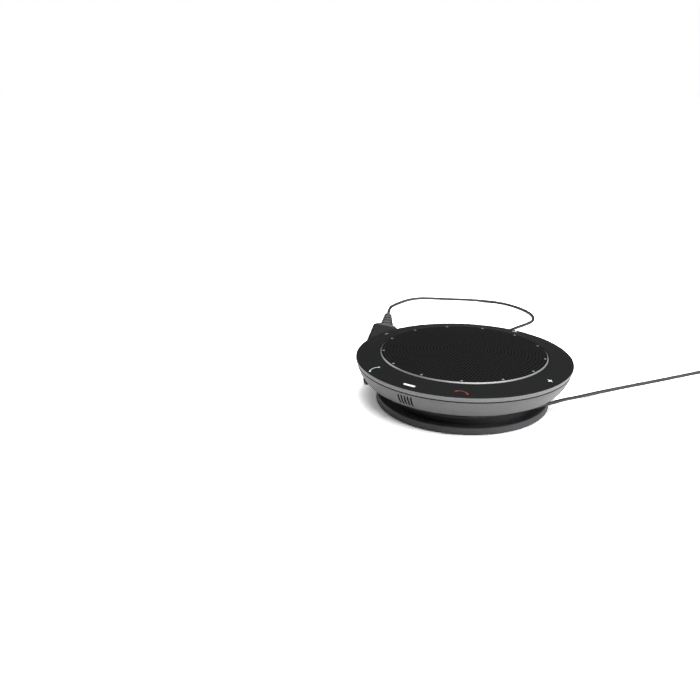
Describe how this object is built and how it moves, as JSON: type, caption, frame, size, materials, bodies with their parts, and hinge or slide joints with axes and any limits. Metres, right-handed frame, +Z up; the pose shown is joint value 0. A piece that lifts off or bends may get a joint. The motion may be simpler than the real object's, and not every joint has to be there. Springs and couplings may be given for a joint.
{
  "type": "conference speakerphone",
  "caption": "Low round conference speakerphone with a sloping touch ring, perforated speaker grille, cable groove, headset socket and a wound lead with its plug.",
  "frame": {"origin": "on the resting surface, under the middle of the base", "axes": "+Z up through the grille, the badge's place and the microphone slots towards -Y"},
  "size_m": [0.2639, 0.2487, 0.0305],
  "materials": {
    "foot_rubber": "matte non-slip rubber",
    "base_grey": "fine textured dark grey plastic",
    "spool_black": "matte black plastic",
    "screw_steel": "zinc plated steel",
    "silver_paint": "satin silver paint on plastic",
    "ring_black": "satin charcoal touch surface",
    "grille_black": "matte black coated perforated metal",
    "acoustic_cloth": "thin black woven cloth",
    "light_pipe": "clear light pipe, unlit",
    "board_green": "solder mask on glass fibre board",
    "chip_white": "white moulded plastic",
    "inner_black": "moulded black plastic",
    "foam_rubber": "soft black rubber",
    "basket_steel": "stamped plated steel",
    "magnet_ferrite": "sintered ferrite",
    "coil_copper": "enamelled copper winding",
    "cone_paper": "coated paper",
    "chip_black": "moulded component package",
    "shield_tin": "tinned sheet",
    "flex_amber": "polyimide film",
    "cord_black": "matte cord jacket",
    "plug_black": "moulded flexible plastic",
    "tie_black": "soft plastic tie"
  },
  "bodies": {
    "housing": {"foot_ring": "foot_rubber", "base_plate": "base_grey", "cable_spool": "spool_black", "base_screws": "screw_steel", "lower_shell": "silver_paint", "rim_band": "silver_paint", "control_ring": "ring_black", "speaker_grille": "grille_black", "grille_cloth": "acoustic_cloth", "led_lenses": "light_pipe", "touch_board": "board_green", "led_chips": "chip_white", "speaker_baffle": "inner_black", "case_screws": "screw_steel", "ring_screws": "screw_steel", "speaker_gasket": "foam_rubber", "speaker_basket": "basket_steel", "speaker_screws": "screw_steel", "speaker_yoke": "basket_steel", "ring_magnet": "magnet_ferrite", "top_plate": "basket_steel", "speaker_surround": "foam_rubber", "speaker_spider": "acoustic_cloth", "main_board": "board_green", "board_screws": "screw_steel", "processor": "chip_black", "audio_chips": "chip_black", "shield_can": "shield_tin", "capacitors": "shield_tin", "flex_connector": "chip_white", "flex_cable": "flex_amber", "speaker_wires": "cord_black", "mic_boot": "foam_rubber", "microphone": "shield_tin", "headset_socket": "inner_black", "lead_socket": "inner_black", "lead_plug_nose": "shield_tin", "lead_plug_body": "plug_black", "lead_strain_relief": "plug_black", "lead_cord": "cord_black", "lead_coil": "cord_black", "lead_tail": "cord_black", "coil_tie": "tie_black", "usb_strain_relief": "plug_black", "usb_grip": "plug_black", "usb_shell": "shield_tin", "usb_tongue": "chip_white"},
    "cone_assembly": {"speaker_cone": "cone_paper", "dust_cap": "cone_paper", "voice_coil": "coil_copper"}
  },
  "joints": [
    {"name": "cone_stroke", "type": "slide", "parent": "housing", "child": "cone_assembly", "axis": [0, 0, 1], "range_m": [-0.0015, 0.0015], "stiffness_N_per_m": 500, "deforming": ["speaker_surround", "speaker_spider"]}
  ]
}
